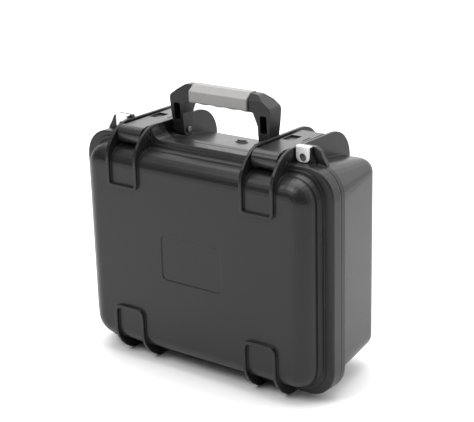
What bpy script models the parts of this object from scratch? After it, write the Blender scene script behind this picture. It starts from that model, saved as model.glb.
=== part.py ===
"""A hard moulded carrying case for a small drone, standing on its hinge side with the handle up.

X is the width, Y the depth with the lid towards -Y, and Z is up. Every size is drawn with the lid and the
base meeting at Y = 0, and the finished case is then moved to stand with its footprint's middle at the origin.
"""

import math

import bmesh
import bpy
from mathutils import Matrix, Vector

# Driving dimensions, in metres.
CENTRE_Z = 0.1335                      # middle of the shells' height
TO_CENTRE_Y = -0.03135                 # from the parting plane's frame to the middle of the footprint
WALL = 0.0035
GAP = 0.0003                           # clearance between touching pieces
FLANGE = (0.1680, 0.1270, 0.0320)      # half width, half height, corner radius of the rim
LID_WALL = (0.1525, 0.1170, 0.0260)    # lid section where its shoulder starts
LID_FACE_Y = -0.0405
LID_SHOULDER = 0.0200
FLANGE_FRONT_Y = -0.0142
BASE_WALL = (0.1620, 0.1240, 0.0368)   # base section behind its lip
BASE_LIP_Y = 0.0090
BASE_BACK_Y = 0.1065
BASE_SHOULDER = 0.0170
BASE_TAPER = (0.154, 0.160, 0.250)     # how much that section shrinks per metre of depth
CORNER_STEPS = 8
ROUND_ANGLES = tuple(11.25 * step for step in range(9))

LATCH_X = 0.09175                      # centre of each latch and hinge
RIB_OFFSET = 0.01975                   # from that centre to the rib planes
RIB_THICK = 0.0035
RIB_FRONT_Y = -0.0438
RIB_TOP_Z = 0.2753
RIB_BULGE = 1.75                       # exponent of the rib's corner curve: 2 is an ellipse

LATCH_PIVOT = (-0.0180, 0.2630)
LATCH_PIN_R = 0.0020
LATCH_ROLL_R = 0.0102
LATCH_TOP_Z = 0.2734
LATCH_REAR_Y = 0.0650

HINGE_AXIS = (0.0000, 0.0060)
HINGE_PIN_R = 0.0020
KNUCKLE_R = 0.0056
KNUCKLE_SWEEP_R = 0.0062
FOOT_OFFSET = 0.01385                  # base feet, inboard of the lid's hinge ribs

GUARD_ARC = (0.0700, 0.2405, 0.0340)   # centre y, centre z and radius of a guard's rear end

HANDLE_PIVOT = (0.0280, 0.2645)
HANDLE_PIN_R = 0.0025
LEG_INNER_X = 0.0513
LEG_OUTER_X = 0.0663
GRIP_HALF = 0.0390

PADLOCK = (0.1233, 0.2662, 0.0043)     # x, z and radius of the padlock eye
LID_TAB = (                            # outline of the lid's padlock tab, as (outwards from the eye, z)
    (-0.0085, 0.2768), (0.0085, 0.2768), (0.0098, 0.2690), (0.0155, 0.2612), (-0.0096, 0.2612),
)
BASE_TAB = (
    (-0.0100, 0.2775), (0.0110, 0.2775), (0.0170, 0.2740), (0.0205, 0.2670), (0.0255, 0.2595),
    (0.0255, 0.2555), (-0.0110, 0.2555),
)

VALVE_Y = 0.0580
FOAM_SPLIT_Y = 0.0660                  # where the cut foam ends and its backing pad starts

PLASTIC = ("moulded_black", (0.030, 0.030, 0.032), 0.42, 0.0)
LATCH_PLASTIC = ("latch_black", (0.035, 0.035, 0.037), 0.38, 0.0)
HANDLE_PLASTIC = ("handle_black", (0.025, 0.025, 0.027), 0.45, 0.0)
GRIP_RUBBER = ("grip_grey", (0.42, 0.43, 0.40), 0.60, 0.0)
SEAL_RUBBER = ("seal_black", (0.015, 0.015, 0.015), 0.70, 0.0)
FOAM = ("foam_charcoal", (0.045, 0.045, 0.050), 0.95, 0.0)
STEEL = ("stainless_steel", (0.75, 0.75, 0.74), 0.25, 1.0)
PIN_STEEL = ("pin_steel", (0.55, 0.55, 0.56), 0.30, 1.0)

TO_YZ = Matrix(((0, 0, 1, 0), (1, 0, 0, 0), (0, 1, 0, 0), (0, 0, 0, 1)))
TO_XZ = Matrix(((1, 0, 0, 0), (0, 0, -1, 0), (0, 1, 0, 0), (0, 0, 0, 1)))


# ---------------------------------------------------------------- scene and objects

def clear_scene():
    for obj in list(bpy.data.objects):
        bpy.data.objects.remove(obj, do_unlink=True)


def new_collection(name):
    collection = bpy.data.collections.new(name)
    bpy.context.scene.collection.children.link(collection)
    return collection


def material(finish):
    name, colour, roughness, metallic = finish
    found = bpy.data.materials.get(name)
    if found:
        return found
    made = bpy.data.materials.new(name)
    made.use_nodes = True
    shader = made.node_tree.nodes["Principled BSDF"]
    shader.inputs["Base Color"].default_value = (*colour, 1.0)
    shader.inputs["Roughness"].default_value = roughness
    shader.inputs["Metallic"].default_value = metallic
    return made


def place(name, mesh, finish=None):
    """A part where a finish is given, and otherwise a helper that a Boolean uses."""
    obj = bpy.data.objects.new(name, mesh)
    if finish:
        mesh.materials.clear()
        mesh.materials.append(material(finish))
        PARTS.objects.link(obj)
    else:
        CUTTERS.objects.link(obj)
        obj.hide_render = True
        obj.display_type = "WIRE"
    return obj


def boolean(target, tool, operation):
    modifier = target.modifiers.new(tool.name, "BOOLEAN")
    modifier.operation = operation
    modifier.solver = "EXACT"
    modifier.object = tool


def join(target, tools):
    for tool in tools:
        boolean(target, tool, "UNION")


def cut(target, tools):
    for tool in tools:
        boolean(target, tool, "DIFFERENCE")


def smooth(obj, angle=0.6):
    obj.data.shade_smooth()
    obj.data.set_sharp_from_angle(angle=angle)


def move_origin(obj, y, z, x=0.0):
    """Puts a moving piece's origin on its joint axis and keeps its shape in place."""
    offset = Vector((x, y, z))
    obj.data.transform(Matrix.Translation(-offset))
    obj.location = offset


# ---------------------------------------------------------------- outlines

def arc(centre, radius, start, end, steps):
    """Points on a circle from one angle to another, in degrees."""
    points = []
    for step in range(steps + 1):
        angle = math.radians(start + (end - start) * step / steps)
        points.append((centre[0] + radius * math.cos(angle), centre[1] + radius * math.sin(angle)))
    return points


def bulge(centre, reach_u, reach_v, steps=7):
    """A corner curve from (centre + reach_u, centre) to (centre, centre + reach_v), flatter than an ellipse."""
    points = []
    for step in range(steps + 1):
        angle = math.pi / 2 * step / steps
        u = reach_u * math.cos(angle) ** (2 / RIB_BULGE) if step < steps else 0.0
        v = reach_v * math.sin(angle) ** (2 / RIB_BULGE) if step else 0.0
        points.append((centre[0] + u, centre[1] + v))
    return points


def rounded(corners, steps=3):
    """An outline whose corners (u, v, radius) are replaced by arcs."""
    points = []
    count = len(corners)
    for index, (u, v, radius) in enumerate(corners):
        here = Vector((u, v))
        if radius <= 0:
            points.append((u, v))
            continue
        before = (Vector(corners[index - 1][:2]) - here).normalized()
        after = (Vector(corners[(index + 1) % count][:2]) - here).normalized()
        half = before.angle(after) / 2
        middle = here + (before + after).normalized() * (radius / math.sin(half))
        first = here + before * (radius / math.tan(half)) - middle
        last = here + after * (radius / math.tan(half)) - middle
        turn = first.angle_signed(last)
        for step in range(steps + 1):
            swung = Matrix.Rotation(-turn * step / steps, 2) @ first
            points.append(tuple(middle + swung))
    return points


def ring_points(half_w, half_h, radius, steps):
    """A rounded rectangle about the shells' centre, as (x, z) points."""
    points = []
    corners = ((1, 1, 0), (-1, 1, 90), (-1, -1, 180), (1, -1, 270))
    for side_x, side_z, start in corners:
        centre = (side_x * (half_w - radius), CENTRE_Z + side_z * (half_h - radius))
        points += arc(centre, radius, start, start + 90, steps)
    return points


# ---------------------------------------------------------------- solids

def loft(name, rings, finish=None, closed=False, steps=CORNER_STEPS):
    """A skin over rounded rectangles (y, half width, half height, radius), capped or joined end to end."""
    mesh = bpy.data.meshes.new(name)
    bm = bmesh.new()
    loops = []
    for y, half_w, half_h, radius in rings:
        loops.append([bm.verts.new((x, y, z)) for x, z in ring_points(half_w, half_h, radius, steps)])
    pairs = list(zip(loops, loops[1:]))
    if closed:
        pairs.append((loops[-1], loops[0]))
    else:
        bm.faces.new(loops[0])
        bm.faces.new(reversed(loops[-1]))
    for first, second in pairs:
        for index in range(len(first)):
            after = (index + 1) % len(first)
            bm.faces.new((first[index], second[index], second[after], first[after]))
    bmesh.ops.recalc_face_normals(bm, faces=bm.faces)
    bm.to_mesh(mesh)
    bm.free()
    return place(name, mesh, finish)


def plate(name, outline, thickness, matrix, finish=None):
    """A flat outline with a thickness, turned into a mesh and stood in place by the matrix."""
    curve = bpy.data.curves.new(name + "_outline", "CURVE")
    curve.dimensions = "2D"
    curve.fill_mode = "BOTH"
    curve.extrude = thickness / 2
    spline = curve.splines.new("POLY")
    spline.points.add(len(outline) - 1)
    for point, (u, v) in zip(spline.points, outline):
        point.co = (u, v, 0, 1)
    spline.use_cyclic_u = True
    holder = bpy.data.objects.new(name + "_outline", curve)
    bpy.context.scene.collection.objects.link(holder)
    graph = bpy.context.evaluated_depsgraph_get()
    mesh = bpy.data.meshes.new_from_object(holder.evaluated_get(graph))
    bpy.data.objects.remove(holder, do_unlink=True)
    bm = bmesh.new()
    bm.from_mesh(mesh)
    bmesh.ops.remove_doubles(bm, verts=bm.verts, dist=1e-6)
    bmesh.ops.dissolve_limit(bm, angle_limit=0.001, verts=bm.verts, edges=bm.edges)
    bmesh.ops.transform(bm, matrix=matrix, verts=bm.verts)
    bmesh.ops.recalc_face_normals(bm, faces=bm.faces)
    bm.to_mesh(mesh)
    bm.free()
    mesh.name = name
    return place(name, mesh, finish)


def side_plate(name, outline, x_low, x_high, finish=None):
    """A (y, z) outline across a stretch of X."""
    shift = Matrix.Translation(((x_low + x_high) / 2, 0, 0))
    return plate(name, outline, x_high - x_low, shift @ TO_YZ, finish)


def front_plate(name, outline, y_low, y_high, finish=None):
    """An (x, z) outline across a stretch of Y."""
    shift = Matrix.Translation((0, (y_low + y_high) / 2, 0))
    return plate(name, outline, y_high - y_low, shift @ TO_XZ, finish)


def box_outline(low_u, high_u, low_v, high_v, radius=0.0):
    corners = ((low_u, low_v), (high_u, low_v), (high_u, high_v), (low_u, high_v))
    return rounded([(u, v, radius) for u, v in corners])


def rod(name, radius, start, end, finish=None, sides=20):
    """A cylinder between two points."""
    start, end = Vector(start), Vector(end)
    turn = Vector((0, 0, 1)).rotation_difference(end - start).to_matrix().to_4x4()
    mesh = bpy.data.meshes.new(name)
    bm = bmesh.new()
    bmesh.ops.create_cone(
        bm, cap_ends=True, segments=sides, radius1=radius, radius2=radius, depth=(end - start).length,
        matrix=Matrix.Translation((start + end) / 2) @ turn,
    )
    bm.to_mesh(mesh)
    bm.free()
    return place(name, mesh, finish)


def cross_rod(name, radius, x_low, x_high, axis, finish=None, sides=20):
    """A cylinder along X about a (y, z) axis."""
    return rod(name, radius, (x_low, *axis), (x_high, *axis), finish, sides)


def turned(name, profile, matrix, finish=None, sides=20):
    """A (radius, height) profile, top to bottom, screwed round its own Z and stood in place by the matrix."""
    mesh = bpy.data.meshes.new(name)
    points = [(radius, 0, height) for radius, height in profile]
    mesh.from_pydata(points, [(index, index + 1) for index in range(len(points) - 1)], [])
    obj = place(name, mesh, finish)
    obj.matrix_world = matrix
    screw = obj.modifiers.new("turn", "SCREW")
    screw.steps = sides
    screw.render_steps = sides
    screw.use_merge_vertices = True
    screw.merge_threshold = 1e-5
    return obj


# ---------------------------------------------------------------- lid

def shoulder_rings(section, radius, flat_y, inward, angles):
    """Rings round a shell's shoulder, from its flat face (0 degrees) to its wall (90 degrees)."""
    half_w, half_h, corner = section
    rings = []
    for degrees in angles:
        angle = math.radians(degrees)
        inset = radius * (1 - math.sin(angle))
        y = flat_y + inward * radius * (1 - math.cos(angle))
        rings.append((y, half_w - inset, half_h - inset, max(corner - inset, 0.006)))
    return rings


def lid_rings():
    outer = shoulder_rings(LID_WALL, LID_SHOULDER, LID_FACE_Y, 1, ROUND_ANGLES)
    step_y = FLANGE_FRONT_Y - 0.0018
    rim = [
        (step_y, 0.1545, 0.1190, 0.0270),
        (step_y, 0.1580, 0.1225, 0.0285),
        (FLANGE_FRONT_Y, 0.1580, 0.1225, 0.0285),
        (FLANGE_FRONT_Y, 0.1668, 0.1258, 0.0312),
        (FLANGE_FRONT_Y + 0.0012, *FLANGE),
        (-GAP, *FLANGE),
        (-GAP, 0.1613, 0.1203, 0.0290),
        (-0.0029, 0.1613, 0.1203, 0.0290),
        (-0.0029, 0.1581, 0.1171, 0.0270),
        (-GAP, 0.1581, 0.1171, 0.0270),
        (-GAP, 0.1510, 0.1155, 0.0240),
    ]
    inner_section = (LID_WALL[0] - WALL, LID_WALL[1] - WALL, LID_WALL[2] - WALL)
    inner = shoulder_rings(inner_section, LID_SHOULDER - WALL, LID_FACE_Y + WALL, 1, (90, 45, 0))
    return outer + rim + inner


def latch_rib_outline():
    """Side view of a lid rib: up the lid's face, round the shoulder and back to the parting line."""
    corner = bulge((-0.0080, 0.2400), RIB_FRONT_Y + 0.0080, RIB_TOP_Z - 0.2400)
    inside = arc((-0.0205, 0.2305), LID_SHOULDER - WALL / 2, 90, 180, 4)
    return (
        [(-0.0388, 0.2160), (RIB_FRONT_Y, 0.2160)]
        + corner
        + [(-GAP, RIB_TOP_Z), (-GAP, 0.2560), (-0.0140, 0.2555)]
        + inside
    )


def hinge_rib_outline():
    """Side view of a hinge rib: down the lid's face, under the shoulder and round the hinge pin."""
    corner = bulge((-0.0120, 0.0340), RIB_FRONT_Y + 0.0120, -0.0340)
    ear = arc(HINGE_AXIS, KNUCKLE_R, -90, 95, 7)
    inside = arc((-0.0205, 0.0365), LID_SHOULDER - WALL / 2, 270, 180, 4)
    return (
        [(-0.0388, 0.0560), (RIB_FRONT_Y, 0.0560)]
        + corner
        + [(-0.0020, 0.0)]
        + ear
        + [(-0.0005, 0.0135), (-0.0140, 0.0135)]
        + inside
    )


def arch_outline(centre, tip, inner_tip, legs, radius):
    """Front view of the bridge that joins a pair of ribs: an arch where the tip is above the legs, or a cup."""
    outer = RIB_OFFSET + RIB_THICK / 2 - 0.00005
    inner = RIB_OFFSET - RIB_THICK / 2 + 0.00005
    return rounded([
        (centre - outer, legs, 0), (centre - outer, tip, radius),
        (centre + outer, tip, radius), (centre + outer, legs, 0),
        (centre + inner, legs, 0), (centre + inner, inner_tip, radius - RIB_THICK),
        (centre - inner, inner_tip, radius - RIB_THICK), (centre - inner, legs, 0),
    ])


def tab_outline(sign, shape):
    """Front view of a padlock tab, which flares outwards down to the rim."""
    return rounded([(sign * (PADLOCK[0] + out), z, 0.0012) for out, z in shape], steps=2)


def fillet_outline(sign):
    """Front view of the web that sweeps from the rim's top up to an inner rib."""
    face = LATCH_X - RIB_OFFSET - RIB_THICK / 2
    radius = 0.0145
    centre = (sign * (face - radius), 0.2750)
    curve = arc(centre, radius, 270, 270 + sign * 90, 7)
    return curve + [(sign * 0.0715, 0.2750), (sign * 0.0715, 0.2570), (centre[0], 0.2570)]


def build_lid():
    shell = loft("lid_shell", lid_rings(), PLASTIC)
    adds, cuts = [], []
    for side, sign in (("left", -1), ("right", 1)):
        centre = sign * LATCH_X
        inner = RIB_OFFSET - RIB_THICK / 2
        for place_name, offset in (("a", -RIB_OFFSET), ("b", RIB_OFFSET)):
            low = centre + offset - RIB_THICK / 2
            high = centre + offset + RIB_THICK / 2
            adds.append(side_plate(f"latch_rib_{side}_{place_name}", latch_rib_outline(), low, high))
            adds.append(side_plate(f"hinge_rib_{side}_{place_name}", hinge_rib_outline(), low, high))
        cup = arch_outline(centre, 0.2072, 0.2102, 0.2240, 0.0060)
        adds.append(front_plate(f"latch_cup_{side}", cup, -0.04375, -0.0391))
        arch = arch_outline(centre, 0.0645, 0.0610, 0.0500, 0.0090)
        adds.append(front_plate(f"hinge_arch_{side}", arch, -0.04375, -0.0391))
        adds.append(front_plate(f"lid_fillet_{side}", fillet_outline(sign), -0.0140, -0.0004))
        eye = sign * PADLOCK[0]
        adds.append(front_plate(f"lid_tab_{side}", tab_outline(sign, LID_TAB), -0.0019, 0.0026))
        root = box_outline(*sorted((eye - sign * 0.0109, eye + sign * 0.0153)), 0.2560, 0.2620)
        adds.append(front_plate(f"lid_tab_root_{side}", root, -0.0018, -0.0005))
        span = inner - 0.00015
        cuts.append(cross_rod(f"latch_bay_{side}", 0.0112, centre - span, centre + span, LATCH_PIVOT, sides=28))
        cuts.append(cross_rod(
            f"knuckle_bay_{side}", KNUCKLE_SWEEP_R, centre - span - 0.0001, centre + span + 0.0001, HINGE_AXIS))
        reach = RIB_OFFSET + RIB_THICK
        cuts.append(cross_rod(f"latch_pin_bore_{side}", 0.0022, centre - reach, centre + reach, LATCH_PIVOT))
        cuts.append(cross_rod(f"ear_bore_{side}", 0.0022, centre - reach, centre + reach, HINGE_AXIS))
        cuts.append(rod(
            f"lid_eye_{side}", PADLOCK[2], (eye, -0.0040, PADLOCK[1]), (eye, 0.0040, PADLOCK[1])))
    label = box_outline(-0.0410, 0.0410, 0.1090, 0.1610, 0.0060)
    cuts.append(front_plate("label_recess", label, LID_FACE_Y - 0.0020, LID_FACE_Y + 0.0008))
    join(shell, adds)
    cut(shell, cuts)
    return shell


def build_seal():
    """Square-section ring in the lid's groove, just short of the base's rim."""
    outer, inner = (0.1610, 0.1200, 0.0287), (0.1584, 0.1174, 0.0273)
    deep, proud = -0.0026, -0.00005
    rings = [(deep, *outer), (proud, *outer), (proud, *inner), (deep, *inner)]
    loft("lid_seal", rings, SEAL_RUBBER, closed=True)


def build_lid_foam():
    slack = 0.0006
    section = [value - WALL - slack for value in LID_WALL]
    rings = shoulder_rings(section, LID_SHOULDER - WALL, LID_FACE_Y + WALL + slack, 1, (0, 45, 90))
    rings.append((-0.0040, 0.1503, 0.1148, 0.0235))
    loft("lid_foam", rings, FOAM, steps=4)


# ---------------------------------------------------------------- base

def base_section(y, inset=0.0):
    """Half width, half height and corner radius of the base's tapering outside."""
    return [size - taper * (y - BASE_LIP_Y) - inset for size, taper in zip(BASE_WALL, BASE_TAPER)]


def base_back_rings(inset, angles):
    """Rings round the base's rear shoulder, which follow its taper."""
    radius = BASE_SHOULDER - inset
    rings = []
    for degrees in angles:
        angle = math.radians(degrees)
        y = BASE_BACK_Y - BASE_SHOULDER + radius * math.cos(angle)
        half_w, half_h, corner = base_section(y, inset + radius * (1 - math.sin(angle)))
        rings.append((y, half_w, half_h, max(corner, 0.005)))
    return rings


def base_rings():
    outer = base_back_rings(0.0, ROUND_ANGLES)
    rim = [
        (BASE_LIP_Y, *BASE_WALL),
        (BASE_LIP_Y - 0.0002, 0.1668, 0.1258, 0.0312),
        (BASE_LIP_Y - 0.0014, *FLANGE),
        (GAP, *FLANGE),
        (GAP, 0.1550, 0.1140, 0.0250),
        (0.0040, 0.1550, 0.1140, 0.0250),
        (BASE_LIP_Y - 0.0005, *base_section(BASE_LIP_Y - 0.0005, WALL)),
    ]
    return outer + rim + base_back_rings(WALL, (90, 60, 30, 0))


def wall_middle(y):
    """Height of the middle of the base's top wall."""
    return CENTRE_Z + base_section(y)[1] - WALL / 2


def guard_outline():
    """Side view of a guard disc: level with the lid's rib, round at the rear, sunk into the top wall."""
    centre_y, centre_z, radius = GUARD_ARC
    rear = arc((centre_y, centre_z), radius, 90, -6, 9)
    back_y = BASE_BACK_Y - BASE_SHOULDER
    return (
        [(GAP, 0.2560), (GAP, RIB_TOP_Z - 0.0003)]
        + rear
        + [(0.1010, 0.2370), (0.0950, 0.2425)]
        + [(back_y, wall_middle(back_y)), (BASE_LIP_Y, wall_middle(BASE_LIP_Y))]
    )


def foot_outline():
    """Side view of a foot: the guard's shape below the base, flat on the ground."""
    low = 2 * CENTRE_Z
    centre_y, _, radius = GUARD_ARC
    rear = arc((centre_y, radius), radius, 270, 355, 8)
    back_y = BASE_BACK_Y - BASE_SHOULDER
    return (
        [(0.0005, 0.0103), (0.0005, 0.0)]
        + rear
        + [(0.1010, low - 0.2370), (0.0950, low - 0.2425)]
        + [(back_y, low - wall_middle(back_y)), (BASE_LIP_Y, low - wall_middle(BASE_LIP_Y))]
    )


def top_wall_frame(y):
    """A place on the base's sloping top, with its Z along the wall's normal."""
    tilt = Matrix.Rotation(-math.atan(BASE_TAPER[1]), 4, "X")
    return Matrix.Translation((0, y, CENTRE_Z + base_section(y)[1])) @ tilt


def on_frame(frame, height):
    return frame @ Vector((0, 0, height))


def build_base():
    shell = loft("base_shell", base_rings(), PLASTIC)
    adds, cuts = [], []
    for side, sign in (("left", -1), ("right", 1)):
        centre = sign * LATCH_X
        for place_name, turn in (("a", -1), ("b", 1)):
            guard = centre + turn * RIB_OFFSET
            foot = centre + turn * FOOT_OFFSET
            half = RIB_THICK / 2
            adds.append(side_plate(f"guard_{side}_{place_name}", guard_outline(), guard - half, guard + half))
            adds.append(side_plate(f"foot_{side}_{place_name}", foot_outline(), foot - half, foot + half))
            cuts.append(cross_rod(
                f"ear_bay_{side}_{place_name}", KNUCKLE_SWEEP_R, guard - 0.0022, guard + 0.0022, HINGE_AXIS))
        span = RIB_OFFSET - RIB_THICK / 2 - 0.00075
        adds.append(cross_rod(f"knuckle_{side}", KNUCKLE_R, centre - span, centre + span, HINGE_AXIS))
        web = box_outline(0.0006, 0.0085, 0.0026, 0.0110)
        adds.append(side_plate(f"knuckle_web_{side}", web, centre - span + 0.0001, centre + span - 0.0001))
        crest = [(0.0110, 0.2545), (0.0185, 0.2545), (0.0165, 0.2640), (0.0125, 0.2640)]
        adds.append(side_plate(f"catch_crest_{side}", crest, centre - 0.0192, centre + 0.0192))
        adds.append(cross_rod(f"handle_boss_{side}", 0.0055, sign * 0.0670, sign * 0.0715, HANDLE_PIVOT))
        adds.append(front_plate(f"base_fillet_{side}", fillet_outline(sign), 0.0004, 0.0078))
        eye = sign * PADLOCK[0]
        adds.append(front_plate(f"base_tab_{side}", tab_outline(sign, BASE_TAB), 0.0031, 0.0084))
        cuts.append(cross_rod(f"knuckle_bore_{side}", 0.0022, centre - span - 0.002, centre + span + 0.002, HINGE_AXIS))
        cuts.append(cross_rod(f"handle_pin_bore_{side}", 0.0027, sign * 0.0660, sign * 0.0750, HANDLE_PIVOT))
        cuts.append(rod(
            f"base_eye_{side}", PADLOCK[2], (eye, -0.0010, PADLOCK[1]), (eye, 0.0120, PADLOCK[1])))
    frame = top_wall_frame(VALVE_Y)
    cuts.append(rod("valve_bore", 0.0047, on_frame(frame, -0.0060), on_frame(frame, 0.0030)))
    join(shell, adds)
    cut(shell, cuts)
    return shell


def foam_section(y):
    """Outside of the foam, a little inside the base's inner wall."""
    return (y, *base_section(y, WALL + 0.0006))


def build_base_foam():
    """A frame of foam cut right through for the drone's parts, on a plain pad."""
    insert = loft("base_foam_insert", [
        (0.0065, 0.1540, 0.1130, 0.0245), foam_section(0.0100), foam_section(FOAM_SPLIT_Y),
    ], FOAM, steps=4)
    bays = {
        "drone_bay": (-0.1380, 0.0720, 0.1400, 0.2320),
        "battery_bay_a": (0.0860, 0.1380, 0.1400, 0.2320),
        "controller_bay": (-0.1380, 0.0180, 0.0360, 0.1260),
        "battery_bay_b": (0.0320, 0.0780, 0.0360, 0.1260),
        "battery_bay_c": (0.0920, 0.1380, 0.0360, 0.1260),
        "nut_notch": (-0.0130, 0.0130, 0.2400, 0.2700),
    }
    tools = []
    for name, (low_x, high_x, low_z, high_z) in bays.items():
        outline = box_outline(low_x, high_x, low_z, high_z)
        tools.append(front_plate(name, outline, 0.0, BASE_BACK_Y))
    cut(insert, tools)
    slack = 0.0006
    rings = [foam_section(FOAM_SPLIT_Y + GAP), foam_section(BASE_BACK_Y - BASE_SHOULDER - 0.0010)]
    rings += base_back_rings(WALL + slack, (90, 60, 30, 0))
    pad = loft("base_foam_pad", rings, FOAM, steps=4)
    cut(pad, [front_plate("pad_notch", box_outline(-0.0130, 0.0130, 0.2400, 0.2700), 0.0600, 0.0720)])


# ---------------------------------------------------------------- hinges, latches and padlock plates

def build_pins():
    half = RIB_OFFSET + RIB_THICK / 2 - 0.0003
    for side, sign in (("left", -1), ("right", 1)):
        centre = sign * LATCH_X
        smooth(cross_rod(f"hinge_pin_{side}", HINGE_PIN_R, centre - half, centre + half, HINGE_AXIS, PIN_STEEL))
        smooth(cross_rod(f"latch_pin_{side}", LATCH_PIN_R, centre - half, centre + half, LATCH_PIVOT, PIN_STEEL))


def latch_outline():
    """Side view of a latch: the roll round its pin, the long plate, and the lip that a finger lifts."""
    roll = arc(LATCH_PIVOT, LATCH_ROLL_R - 0.0001, 330, 95, 14)
    return roll + [
        (LATCH_REAR_Y - 0.0010, LATCH_TOP_Z), (LATCH_REAR_Y, LATCH_TOP_Z - 0.0010),
        (LATCH_REAR_Y, 0.2655), (LATCH_REAR_Y - 0.0030, 0.2655), (LATCH_REAR_Y - 0.0045, 0.2698),
        (-0.0040, 0.2698),
    ]


def build_latch(side, centre):
    half_w = 0.0140
    lever = side_plate(f"latch_lever_{side}", latch_outline(), centre - half_w, centre + half_w, LATCH_PLASTIC)
    adds = [cross_rod(
        f"latch_roll_{side}", LATCH_ROLL_R, centre - 0.0161, centre + 0.0161, LATCH_PIVOT, sides=28)]
    skirt = [(-0.0100, 0.2655), (0.0600, 0.2655), (0.0620, 0.2705), (-0.0100, 0.2705)]
    for place_name, turn in (("a", -1), ("b", 1)):
        low, high = sorted((centre + turn * (half_w - 0.0001), centre + turn * (half_w - 0.0026)))
        adds.append(side_plate(f"latch_skirt_{side}_{place_name}", skirt, low, high))
    tooth = [(0.0150, 0.2705), (0.0156, 0.2644), (0.0196, 0.2644), (0.0215, 0.2705)]
    adds.append(side_plate(f"latch_tooth_{side}", tooth, centre - 0.0085, centre + 0.0085))
    bore = cross_rod(f"latch_bore_{side}", 0.0023, centre - 0.0180, centre + 0.0180, LATCH_PIVOT)
    pocket = side_plate(
        f"latch_pocket_{side}", box_outline(0.0225, 0.0420, 0.2712, 0.2760), centre - 0.0130, centre + 0.0005)
    slit = side_plate(
        f"latch_slit_{side}", box_outline(0.0270, 0.0420, 0.2718, 0.2760), centre + 0.0098, centre + 0.0116)
    join(lever, adds)
    cut(lever, [bore, pocket, slit])
    move_origin(lever, *LATCH_PIVOT, x=centre)


def build_padlock_plates():
    """A bent steel plate over the front and the top of each lid tab."""
    front, sheet_thick, top = -0.0032, 0.0010, 0.2781
    side_view = [
        (front, 0.2612), (front + sheet_thick, 0.2612), (front + sheet_thick, top - sheet_thick),
        (0.0026, top - sheet_thick), (0.0026, top), (front + 0.0008, top), (front, top - 0.0008),
    ]
    for side, sign in (("left", -1), ("right", 1)):
        eye = sign * PADLOCK[0]
        sheet = side_plate(f"padlock_plate_{side}", side_view, eye - 0.0083, eye + 0.0083, STEEL)
        outline = rounded([
            (eye - 0.0081, 0.2613, 0.0050), (eye + 0.0081, 0.2613, 0.0050),
            (eye + 0.0082, 0.2900, 0), (eye - 0.0082, 0.2900, 0),
        ])
        boolean(sheet, front_plate(f"plate_outline_{side}", outline, -0.0100, 0.0100), "INTERSECT")
        cut(sheet, [rod(
            f"plate_eye_{side}", PADLOCK[2], (eye, -0.0080, PADLOCK[1]), (eye, 0.0000, PADLOCK[1]))])


# ---------------------------------------------------------------- handle and valve

def build_handle():
    frame = side_plate(
        "handle_frame", box_outline(0.0215, 0.0345, 0.3025, 0.3135), -0.0450, 0.0450, HANDLE_PLASTIC)
    side_view = (
        arc(HANDLE_PIVOT, 0.0080, 180, 360, 8)
        + [(0.0372, 0.2760), (0.0385, 0.3000), (0.0385, 0.3112), (0.0325, 0.3176)]
        + [(0.0235, 0.3176), (0.0175, 0.3112), (0.0175, 0.3000), (0.0188, 0.2760)]
    )
    adds, cuts = [], []
    for side, sign in (("left", -1), ("right", 1)):
        leg = rounded([
            (sign * 0.0393, 0.3180, 0), (sign * 0.0500, 0.3172, 0.0080), (sign * 0.0672, 0.3050, 0.0030),
            (sign * 0.0683, 0.3010, 0.0030), (sign * 0.0672, 0.2840, 0), (sign * LEG_OUTER_X, 0.2760, 0),
            (sign * LEG_OUTER_X, 0.2560, 0),
            (sign * LEG_INNER_X, 0.2560, 0), (sign * LEG_INNER_X, 0.2840, 0.0060),
            (sign * 0.0455, 0.2985, 0.0020), (sign * 0.0393, 0.2985, 0),
        ])
        solid = front_plate(f"handle_leg_{side}", leg, 0.0170, 0.0390)
        low, high = sorted((sign * 0.0380, sign * 0.0690))
        boolean(solid, side_plate(f"handle_side_{side}", side_view, low, high), "INTERSECT")
        adds.append(solid)
        pocket = box_outline(*sorted((sign * 0.0545, sign * 0.0632)), 0.2760, 0.2960, 0.0020)
        cuts.append(front_plate(f"leg_pocket_{side}", pocket, 0.0100, 0.0300))
        cuts.append(cross_rod(
            f"leg_bore_{side}", 0.0028, sign * 0.0450, sign * 0.0700, HANDLE_PIVOT))
    join(frame, adds)
    cut(frame, cuts)
    move_origin(frame, *HANDLE_PIVOT)


def build_grip():
    """A rubber sleeve round the crossbar: chamfered on top, with shallow finger dips underneath."""
    outline = rounded([
        (0.0150, 0.3005, 0.0012), (0.0175, 0.2982, 0.0012), (0.0385, 0.2982, 0.0012), (0.0410, 0.3005, 0.0012),
        (0.0410, 0.3122, 0.0012), (0.0325, 0.3185, 0.0018), (0.0235, 0.3185, 0.0018), (0.0150, 0.3122, 0.0012),
    ], steps=2)
    grip = side_plate("handle_grip", outline, -GRIP_HALF, GRIP_HALF, GRIP_RUBBER)
    tools = [side_plate("grip_tunnel", box_outline(0.0212, 0.0348, 0.3022, 0.3138), -0.0450, 0.0450)]
    for index, x in enumerate((-0.0285, -0.0095, 0.0095, 0.0285)):
        tools.append(rod(
            f"finger_dip_{index}", 0.0200, (x, 0.0100, 0.2795), (x, 0.0450, 0.2795), sides=48))
    cut(grip, tools)
    move_origin(grip, *HANDLE_PIVOT)


def build_handle_pins():
    """Headed pins, pushed outwards through the legs into the guards."""
    for side, sign in (("left", -1), ("right", 1)):
        turn = Matrix.Rotation(sign * math.pi / 2, 4, "Y")
        frame = Matrix.Translation((sign * 0.0510, *HANDLE_PIVOT)) @ turn
        profile = [
            (0.0, 0.0222), (0.0022, 0.0222), (HANDLE_PIN_R, 0.0219), (HANDLE_PIN_R, 0.0),
            (0.0034, 0.0), (0.0034, -0.0008), (0.0027, -0.0013), (0.0, -0.0013),
        ]
        smooth(turned(f"handle_pin_{side}", profile, frame, PIN_STEEL))


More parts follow.
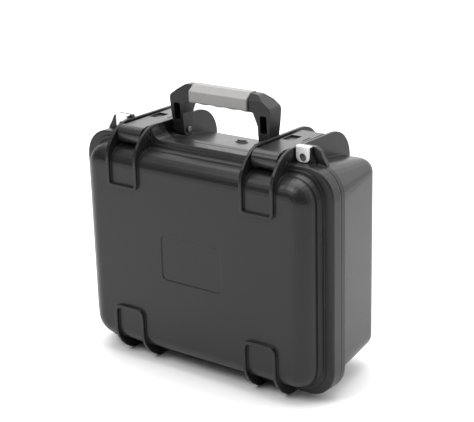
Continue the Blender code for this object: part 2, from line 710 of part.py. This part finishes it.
def build_valve():
    """A pressure-relief valve through the base's top wall: body, vented knob and inner nut."""
    frame = top_wall_frame(VALVE_Y)
    body = [
        (0.0, 0.0012), (0.0068, 0.0012), (0.0075, 0.0007), (0.0075, GAP),
        (0.0044, GAP), (0.0044, -0.0080), (0.0, -0.0080),
    ]
    smooth(turned("valve_body", body, frame, LATCH_PLASTIC))
    knob = [
        (0.0, 0.0030), (0.0044, 0.0030), (0.0052, 0.0025), (0.0055, 0.0015), (0.0, 0.0015),
    ]
    smooth(turned("valve_knob", knob, frame, HANDLE_PLASTIC))
    nut = rod("valve_nut", 0.0076, on_frame(frame, -0.0071), on_frame(frame, -0.0039), LATCH_PLASTIC, 6)
    cut(nut, [rod("nut_bore", 0.0047, on_frame(frame, -0.0100), on_frame(frame, -0.0010))])


# ---------------------------------------------------------------- assembly

clear_scene()
PARTS = new_collection("drone_carrying_case")
CUTTERS = new_collection("cutters")

for shell_part in (build_lid(), build_base()):
    smooth(shell_part)
build_seal()
build_lid_foam()
build_base_foam()
build_pins()
build_latch("left", -LATCH_X)
build_latch("right", LATCH_X)
build_padlock_plates()
build_handle()
build_grip()
build_handle_pins()
build_valve()
for piece in list(PARTS.objects) + list(CUTTERS.objects):
    piece.location.y += TO_CENTRE_Y
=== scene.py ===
"""Looks of the drone carrying case: moulded plastic, rubber, steel and foam, on a pale studio floor."""

import bmesh
import bpy
import numpy as np
from mathutils import Matrix, Vector, noise


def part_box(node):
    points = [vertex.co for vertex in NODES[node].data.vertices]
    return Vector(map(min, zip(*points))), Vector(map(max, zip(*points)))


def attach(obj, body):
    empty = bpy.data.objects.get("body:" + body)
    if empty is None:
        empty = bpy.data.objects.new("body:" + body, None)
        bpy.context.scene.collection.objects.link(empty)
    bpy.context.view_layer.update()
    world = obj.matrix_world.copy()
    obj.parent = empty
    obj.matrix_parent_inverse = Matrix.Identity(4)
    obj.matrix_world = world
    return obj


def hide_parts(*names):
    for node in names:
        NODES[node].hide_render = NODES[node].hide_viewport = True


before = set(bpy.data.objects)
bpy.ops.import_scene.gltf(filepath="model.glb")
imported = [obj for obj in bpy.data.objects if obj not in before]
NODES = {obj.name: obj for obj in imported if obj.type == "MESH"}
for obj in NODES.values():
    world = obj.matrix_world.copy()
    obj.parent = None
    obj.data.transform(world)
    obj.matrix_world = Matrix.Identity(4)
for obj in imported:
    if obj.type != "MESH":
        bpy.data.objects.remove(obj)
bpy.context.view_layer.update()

FOCAL_MM = 99.1
SENSOR_MM = 36.0
CAMERA_AT = (0.8440, -1.0970, 0.6450)
CAMERA_FORWARD = (-0.5728, 0.7542, -0.3211)
CAMERA_RIGHT = (0.8012, 0.5979, -0.0251)

FLOOR_RADIUS = 14.0
OVERHEAD = {"place": (-0.1, 0.1, 2.0), "target": (0, 0, 0), "size": (1.8, 1.8), "power": 36}
FRONT = {"place": (-0.5, -1.5, 1.9), "target": (0, 0, 0.05), "size": (1.4, 1.0), "power": 34}
BRIGHT_SIDE = (0.15, 0.92, 0.36)       # where the room's light comes from
ROOM_DIM, ROOM_BRIGHT = 0.10, 2.0      # its strength opposite that side and on it

FOAM_GREY = 0.050
INSERT_VOXEL = 0.0028                  # metres: the grid on which each foam piece is remade
PAD_VOXEL = 0.0040
CRATE_VOXEL = 0.0030
FOAM_FUZZ = 0.00025                    # how far the cut foam's skin wanders
CRATE_PITCH = 0.0260                   # from peak to peak of the lid's foam
CRATE_DEPTH = 0.0095
CRATE_BORDER = 0.012                   # plain foam round the peaks
CRATE_RISE = 0.008                     # over which the peaks grow from the border


# ---------------------------------------------------------------- node helpers

class Graph:
    """Builds a material's node tree with short calls."""

    def __init__(self, name):
        self.material = bpy.data.materials.new(name)
        self.material.use_nodes = True
        self.tree = self.material.node_tree
        self.shader = self.tree.nodes["Principled BSDF"]
        self.place = self.add("ShaderNodeTexCoord").outputs["Object"]

    def add(self, kind, **settings):
        node = self.tree.nodes.new(kind)
        for key, value in settings.items():
            setattr(node, key, value)
        return node

    def feed(self, socket, value):
        if isinstance(value, bpy.types.NodeSocket):
            self.tree.links.new(value, socket)
        else:
            socket.default_value = value

    def scaled(self, scale):
        """The object's coordinates, stretched by three factors."""
        node = self.add("ShaderNodeMapping")
        self.feed(node.inputs["Vector"], self.place)
        node.inputs["Scale"].default_value = scale
        return node.outputs["Vector"]

    def noise(self, scale, detail=3.0, roughness=0.5, vector=None):
        node = self.add("ShaderNodeTexNoise")
        self.feed(node.inputs["Vector"], vector or self.place)
        node.inputs["Scale"].default_value = scale
        node.inputs["Detail"].default_value = detail
        node.inputs["Roughness"].default_value = roughness
        return node.outputs["Fac"]

    def cells(self, scale):
        node = self.add("ShaderNodeTexVoronoi")
        self.feed(node.inputs["Vector"], self.place)
        node.inputs["Scale"].default_value = scale
        return node.outputs["Distance"]

    def span(self, value, low, high, to_low=0.0, to_high=1.0):
        """The value's stretch from low to high, spread over another stretch and held at its ends."""
        node = self.add("ShaderNodeMapRange")
        self.feed(node.inputs["Value"], value)
        for key, number in (("From Min", low), ("From Max", high), ("To Min", to_low), ("To Max", to_high)):
            node.inputs[key].default_value = number
        return node.outputs["Result"]

    def maths(self, operation, first, second=0.0):
        node = self.add("ShaderNodeMath", operation=operation)
        self.feed(node.inputs[0], first)
        self.feed(node.inputs[1], second)
        return node.outputs["Value"]

    def mix(self, factor, first, second):
        node = self.add("ShaderNodeMix", data_type="RGBA")
        self.feed(node.inputs["Factor"], factor)
        self.feed(node.inputs["A"], first)
        self.feed(node.inputs["B"], second)
        return node.outputs["Result"]

    def rounded_normal(self, radius):
        node = self.add("ShaderNodeBevel", samples=4)
        node.inputs["Radius"].default_value = radius
        return node.outputs["Normal"]

    def edges(self, rounded):
        """How far a softened edge leans away from the flat face beside it, from 0 to 1."""
        flat = self.add("ShaderNodeNewGeometry").outputs["Normal"]
        node = self.add("ShaderNodeVectorMath", operation="DOT_PRODUCT")
        self.feed(node.inputs[0], rounded)
        self.feed(node.inputs[1], flat)
        return self.span(node.outputs["Value"], 0.995, 0.90)

    def bump(self, height, strength, distance, normal=None):
        node = self.add("ShaderNodeBump")
        node.inputs["Strength"].default_value = strength
        node.inputs["Distance"].default_value = distance
        self.feed(node.inputs["Height"], height)
        if normal is not None:
            self.feed(node.inputs["Normal"], normal)
        return node.outputs["Normal"]

    def surface(self, colour=None, rough=None, normal=None, **values):
        if colour is not None:
            self.feed(self.shader.inputs["Base Color"], colour)
        if rough is not None:
            self.feed(self.shader.inputs["Roughness"], rough)
        if normal is not None:
            self.feed(self.shader.inputs["Normal"], normal)
        for key, value in values.items():
            self.shader.inputs[key.replace("_", " ").title()].default_value = value
        return self.material


def grey(level, warmth=0.0):
    return (level * (1 + warmth), level, level * (1 - warmth), 1.0)


# ---------------------------------------------------------------- materials

def moulded_plastic(name, level, rough, soft_edge, grain=1500.0, relief=0.10, specular=0.31):
    """Spark-eroded moulded plastic: fine grain, cloudy gloss, and edges painted paler in patches."""
    g = Graph(name)
    rounded = g.rounded_normal(soft_edge)
    # the softened edges are painted paler, in noisy patches
    paler_edge_patches = g.maths("MULTIPLY", g.edges(rounded), g.span(g.noise(60, 4), 0.40, 0.62))
    clouds = g.noise(9, 4, 0.6)
    base = g.mix(g.span(clouds, 0.3, 0.7), grey(level * 0.86), grey(level * 1.14))
    speck = g.mix(g.span(g.noise(grain * 0.5, 2), 0.62, 0.80), base, grey(level * 1.7))
    colour = g.mix(g.maths("MULTIPLY", paler_edge_patches, 0.55), speck, grey(level * 2.6))
    gloss = g.maths("ADD", g.span(clouds, 0.3, 0.7, rough - 0.03, rough + 0.03),
                    g.span(g.noise(220, 3), 0.3, 0.7, -0.02, 0.02))
    normal = g.bump(g.noise(grain, 2, 0.6), relief, 0.0002, rounded)
    g.shader.inputs["Specular IOR Level"].default_value = specular
    return g.surface(colour, gloss, normal)


def soft_rubber(name, level, rough, warmth=0.02):
    g = Graph(name)
    rounded = g.rounded_normal(0.0010)
    clouds = g.noise(35, 5, 0.6)
    base = g.mix(g.span(clouds, 0.3, 0.7), grey(level * 0.90, warmth), grey(level * 1.06, warmth))
    grime = g.mix(g.span(g.noise(600, 3), 0.58, 0.75, 0.0, 0.35), base, grey(level * 0.6, warmth))
    normal = g.bump(g.noise(1300, 3, 0.7), 0.25, 0.0003, rounded)
    return g.surface(grime, g.span(clouds, 0.3, 0.7, rough - 0.05, rough + 0.05), normal)


def brushed_steel(name, level, rough, along, metallic=1.0):
    """Steel with fine brush lines along one axis."""
    g = Graph(name)
    rounded = g.rounded_normal(0.0003)
    stretch = [900.0, 900.0, 900.0]
    stretch[along] = 40.0
    lines = g.noise(1.0, 3, 0.6, g.scaled(stretch))
    colour = g.mix(g.span(lines, 0.3, 0.7), grey(level * 0.86, 0.01), grey(level, 0.01))
    normal = g.bump(lines, 0.12, 0.0001, rounded)
    return g.surface(colour, g.span(lines, 0.3, 0.7, rough - 0.05, rough + 0.09), normal, metallic=metallic)


def open_cell_foam(name, level):
    """Charcoal foam: pits between fine cells with painted shade in them, and a dusty sheen."""
    g = Graph(name)
    cells = g.cells(900)
    pores = g.noise(500, 4, 0.7)
    # painted shade: the foam is coloured darker in the pits between the cells, where the bump is lowest
    tone = g.mix(g.span(cells, 0.1, 0.7), grey(level * 0.45), grey(level * 1.25, -0.02))
    colour = g.mix(g.span(g.noise(30, 3), 0.35, 0.65, 0.0, 0.4), tone, grey(level * 1.5, -0.02))
    height = g.maths("ADD", cells, pores)
    normal = g.bump(height, 0.8, 0.0008)
    g.surface(colour, 0.95, normal)
    g.shader.inputs["Sheen Weight"].default_value = 0.25
    g.shader.inputs["Sheen Roughness"].default_value = 0.6
    return g.material


def dress_nodes():
    shell = moulded_plastic("shell_plastic", 0.0095, 0.33, 0.0017)
    latch = moulded_plastic("latch_plastic", 0.0120, 0.30, 0.0007, 1800, 0.07, 0.50)
    handle = moulded_plastic("handle_plastic", 0.0110, 0.36, 0.0009, 1700, 0.08)
    grip = soft_rubber("grip_rubber", 0.24, 0.58)
    seal = soft_rubber("seal_rubber", 0.015, 0.65, 0.0)
    plate_steel = brushed_steel("plate_steel", 0.92, 0.36, 0, 0.45)
    pin_steel = brushed_steel("turned_steel", 0.17, 0.35, 1)
    looks = {
        "base_shell": shell, "lid_shell": shell, "lid_seal": seal,
        "latch_lever_left": latch, "latch_lever_right": latch,
        "valve_body": latch, "valve_knob": handle, "valve_nut": latch,
        "handle_frame": handle, "handle_grip": grip,
        "padlock_plate_left": plate_steel, "padlock_plate_right": plate_steel,
    }
    for name, node in NODES.items():
        look = looks.get(name)
        if look is None and "pin" in name:
            look = pin_steel
        if look is None:
            continue
        for slot in node.material_slots:
            slot.material = look


# ---------------------------------------------------------------- foam

def copy_of(name, node, material):
    """A new piece with a CAD node's shape, to be finished in more detail."""
    mesh = NODES[node].data.copy()
    obj = bpy.data.objects.new(name, mesh)
    bpy.context.scene.collection.objects.link(obj)
    mesh.materials.clear()
    mesh.materials.append(material)
    return obj


def bake_modifiers(obj):
    graph = bpy.context.evaluated_depsgraph_get()
    mesh = bpy.data.meshes.new_from_object(obj.evaluated_get(graph))
    obj.modifiers.clear()
    obj.data = mesh


def soft_block(name, node, material, voxel):
    """A foam node's block, remade on a fine grid with its corners relaxed."""
    obj = copy_of(name, node, material)
    remesh = obj.modifiers.new("remesh", "REMESH")
    remesh.mode = "VOXEL"
    remesh.voxel_size = voxel
    relax = obj.modifiers.new("relax", "SMOOTH")
    relax.factor = 0.5
    relax.iterations = 2
    bake_modifiers(obj)
    return obj


def point_arrays(mesh):
    """A mesh's points and their normals, one row each."""
    places = np.empty(len(mesh.vertices) * 3, np.float32)
    normals = np.empty(len(mesh.vertices) * 3, np.float32)
    mesh.vertices.foreach_get("co", places)
    mesh.vertices.foreach_get("normal", normals)
    return places.reshape(-1, 3), normals.reshape(-1, 3)


def settle(obj, places, body, node):
    """Puts the moved points back, and hands the piece over in place of its CAD node."""
    obj.data.vertices.foreach_set("co", places.ravel())
    obj.data.shade_smooth()
    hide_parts(node)
    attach(obj, body)


def cut_foam(name, node, body, material, voxel):
    """Cut foam: the node's block with soft corners and a faintly uneven skin."""
    obj = soft_block(name, node, material, voxel)
    places, normals = point_arrays(obj.data)
    for place, normal in zip(places, normals):
        spot = Vector(place)
        wander = (noise.noise(spot * 160) + noise.noise(spot * 45)) * FOAM_FUZZ
        place += normal * (wander - FOAM_FUZZ)
    settle(obj, places, body, node)


def egg_crate(name, node, body, material):
    """The lid's foam, whose face is a field of soft peaks and dips inside a plain border."""
    obj = soft_block(name, node, material, CRATE_VOXEL)
    low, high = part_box(node)
    middle = (low + high) / 2
    half_x = (high.x - low.x) / 2 - CRATE_BORDER
    half_z = (high.z - low.z) / 2 - CRATE_BORDER
    places, _ = point_arrays(obj.data)
    x, y, z = places.T
    front = np.clip((y - (high.y - 0.006)) / 0.005, 0, 1)
    border = np.minimum((half_x - abs(x - middle.x)) / CRATE_RISE, (half_z - abs(z - middle.z)) / CRATE_RISE)
    turn = 2 * np.pi / CRATE_PITCH
    wave = np.cos(turn * (x - middle.x)) * np.cos(turn * (z - middle.z))
    places[:, 1] -= front * (np.clip(border, 0, 1) * CRATE_DEPTH * (0.5 - 0.5 * wave) + 0.0002)
    settle(obj, places, body, node)


def make_foam():
    foam = open_cell_foam("foam", FOAM_GREY)
    cut_foam("foam_insert", "base_foam_insert", "base", foam, INSERT_VOXEL)
    cut_foam("foam_pad", "base_foam_pad", "base", foam, PAD_VOXEL)
    egg_crate("foam_lid", "lid_foam", "lid", foam)


# ---------------------------------------------------------------- studio

def make_camera():
    data = bpy.data.cameras.new("camera")
    data.sensor_width = SENSOR_MM
    data.lens = FOCAL_MM
    data.clip_end = 100
    forward = Vector(CAMERA_FORWARD).normalized()
    right = Vector(CAMERA_RIGHT)
    right = (right - forward * right.dot(forward)).normalized()
    up = right.cross(forward)
    turn = Matrix((right, up, -forward)).transposed().to_4x4()
    camera = bpy.data.objects.new("camera", data)
    camera.matrix_world = Matrix.Translation(CAMERA_AT) @ turn
    bpy.context.scene.collection.objects.link(camera)
    bpy.context.scene.camera = camera


def make_floor():
    g = Graph("floor_paper")
    tone = g.mix(g.span(g.noise(4, 3), 0.3, 0.7), grey(0.86), grey(0.89))
    material = g.surface(tone, 0.85, g.bump(g.noise(700, 3), 0.05, 0.0003))
    mesh = bpy.data.meshes.new("floor")
    bm = bmesh.new()
    bmesh.ops.create_circle(bm, cap_ends=True, segments=64, radius=FLOOR_RADIUS)
    bm.to_mesh(mesh)
    bm.free()
    mesh.materials.append(material)
    floor = bpy.data.objects.new("floor", mesh)
    bpy.context.scene.collection.objects.link(floor)


def area_light(name, place, target, size, power):
    data = bpy.data.lights.new(name, "AREA")
    data.shape = "RECTANGLE"
    data.size, data.size_y = size
    data.energy = power
    light = bpy.data.objects.new(name, data)
    direction = Vector(target) - Vector(place)
    light.rotation_euler = direction.to_track_quat("-Z", "Y").to_euler()
    light.location = place
    bpy.context.scene.collection.objects.link(light)


def make_world():
    """A bright sweep of paper behind the case, and a dimmer room in front of it."""
    world = bpy.data.worlds.new("studio")
    world.use_nodes = True
    tree = world.node_tree
    bpy.context.scene.world = world
    ground = tree.nodes["Background"]
    place = tree.nodes.new("ShaderNodeTexCoord")
    lean = tree.nodes.new("ShaderNodeVectorMath")
    lean.operation = "DOT_PRODUCT"
    lean.inputs[1].default_value = BRIGHT_SIDE
    tree.links.new(place.outputs["Generated"], lean.inputs[0])
    ramp = tree.nodes.new("ShaderNodeMapRange")
    ramp.interpolation_type = "SMOOTHSTEP"
    limits = {"From Min": -0.3, "From Max": 0.85, "To Min": ROOM_DIM, "To Max": ROOM_BRIGHT}
    for key, number in limits.items():
        ramp.inputs[key].default_value = number
    tree.links.new(lean.outputs["Value"], ramp.inputs["Value"])
    tree.links.new(ramp.outputs["Result"], ground.inputs["Strength"])
    ground.inputs["Color"].default_value = (1, 1, 1, 1)


bpy.context.scene.view_settings.view_transform = "Standard"
make_camera()
make_floor()
make_world()
area_light("overhead", **OVERHEAD)
area_light("front", **FRONT)
dress_nodes()
make_foam()
